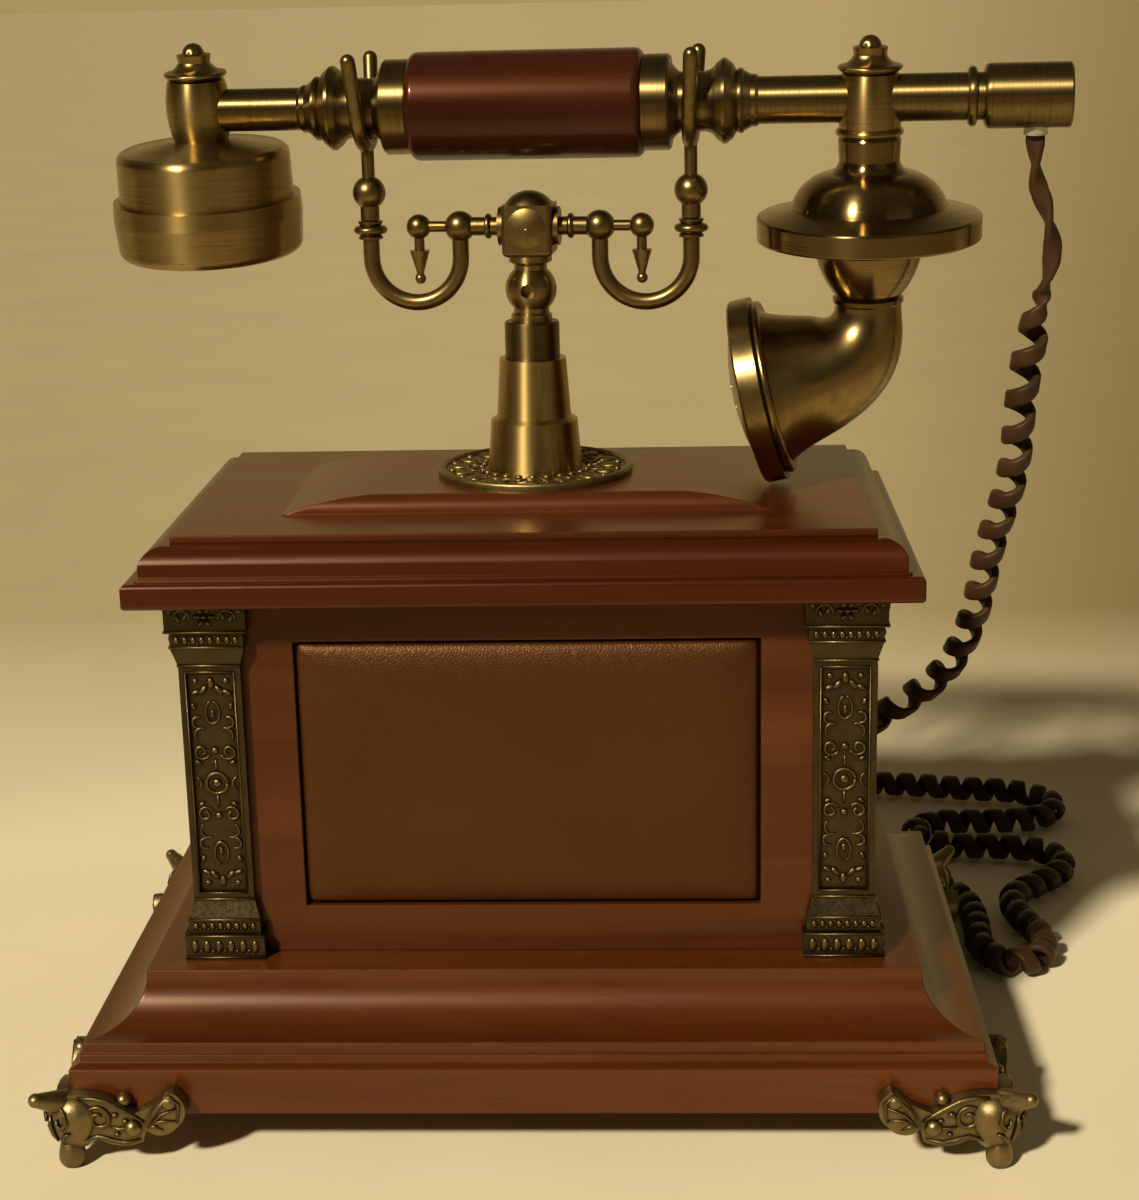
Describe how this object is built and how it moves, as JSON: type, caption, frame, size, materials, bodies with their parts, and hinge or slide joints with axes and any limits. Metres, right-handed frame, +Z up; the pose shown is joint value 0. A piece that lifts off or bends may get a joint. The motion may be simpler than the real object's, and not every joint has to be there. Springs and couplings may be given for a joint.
{
  "type": "french-style cradle phone",
  "caption": "Wooden desk telephone with moulded case, brass feet and corner columns, forked cradle on a post, and a brass handset with flat earpiece, trumpet mouthpiece and curly cord.",
  "frame": {"origin": "on the table, under the middle of the case", "axes": "+X to the right seen from the front, +Y to the back, +Z up"},
  "size_m": [0.3389, 0.3145, 0.3122],
  "materials": {
    "mahogany": "gloss lacquer over fine reddish grain",
    "antique_brass": "brushed and darkened",
    "aged_brass": "cast relief, dark in the hollows",
    "leather": "smooth brown hide, low sheen",
    "backing_board": "dark, unpolished",
    "dark_sleeve": "dark brown, half gloss",
    "steel": "plain",
    "sheet_steel": "black paint",
    "black_plastic": "fine matt",
    "board": "coated",
    "clear_plastic": "clear, glossy",
    "cord_brown": "taupe brown, soft sheen"
  },
  "bodies": {
    "base": {"plinth": "mahogany", "bottom_plate": "sheet_steel", "case_screws": "steel", "front_left_foot": "aged_brass", "front_right_foot": "aged_brass", "rear_left_foot": "aged_brass", "rear_right_foot": "aged_brass", "front_panel": "mahogany", "rear_panel": "mahogany", "left_panel": "mahogany", "right_panel": "mahogany", "pad_board": "backing_board", "front_pad": "leather", "front_left_pilaster": "aged_brass", "front_right_pilaster": "aged_brass", "rear_left_pilaster": "aged_brass", "rear_right_pilaster": "aged_brass", "lid_base": "mahogany", "lid_top_panel": "mahogany", "rosette": "aged_brass", "post": "antique_brass", "post_nut": "steel", "hook_spring": "steel", "hook_switch": "black_plastic", "circuit_board": "board", "ringer": "black_plastic", "handset_grommet": "black_plastic", "line_jack": "black_plastic", "handset_cord_drop": "cord_brown", "handset_cord_slack": "cord_brown"},
    "switch_button": {"switch_button": "black_plastic"},
    "cradle": {"plunger": "dark_sleeve", "cradle_stem": "antique_brass", "crown": "antique_brass", "left_arm": "antique_brass", "right_arm": "antique_brass", "left_hook": "antique_brass", "right_hook": "antique_brass", "left_fork": "antique_brass", "right_fork": "antique_brass"},
    "handset": {"grip": "mahogany", "grip_tube": "steel", "grip_ferrules": "antique_brass", "neck_collars": "antique_brass", "ear_arm": "antique_brass", "ear_hub": "antique_brass", "hub_finials": "antique_brass", "earpiece_cup": "antique_brass", "earpiece_rim": "antique_brass", "receiver_capsule": "black_plastic", "mic_arm": "antique_brass", "mic_hub": "antique_brass", "mic_dome": "antique_brass", "mic_flange": "antique_brass", "horn_elbow": "antique_brass", "horn_rim": "antique_brass", "mouth_grille": "antique_brass", "transmitter_capsule": "black_plastic", "end_cap": "antique_brass", "cord_bushing": "clear_plastic"}
  },
  "joints": [
    {"name": "handset_lift", "type": "slide", "parent": "base", "child": "handset", "axis": [0, 0, 1], "range_m": [0, 0.15]},
    {"name": "cradle_rise", "type": "slide", "parent": "base", "child": "cradle", "axis": [0, 0, 1], "range_m": [0, 0.005], "deforming": ["hook_spring"]},
    {"name": "button_rise", "type": "slide", "parent": "base", "child": "switch_button", "axis": [0, 0, 1], "range_m": [0, 0.003]}
  ],
  "couplings": [
    {"joint": "cradle_rise", "follows": "handset_lift", "ratio": 0.033333},
    {"joint": "button_rise", "follows": "handset_lift", "ratio": 0.02}
  ]
}
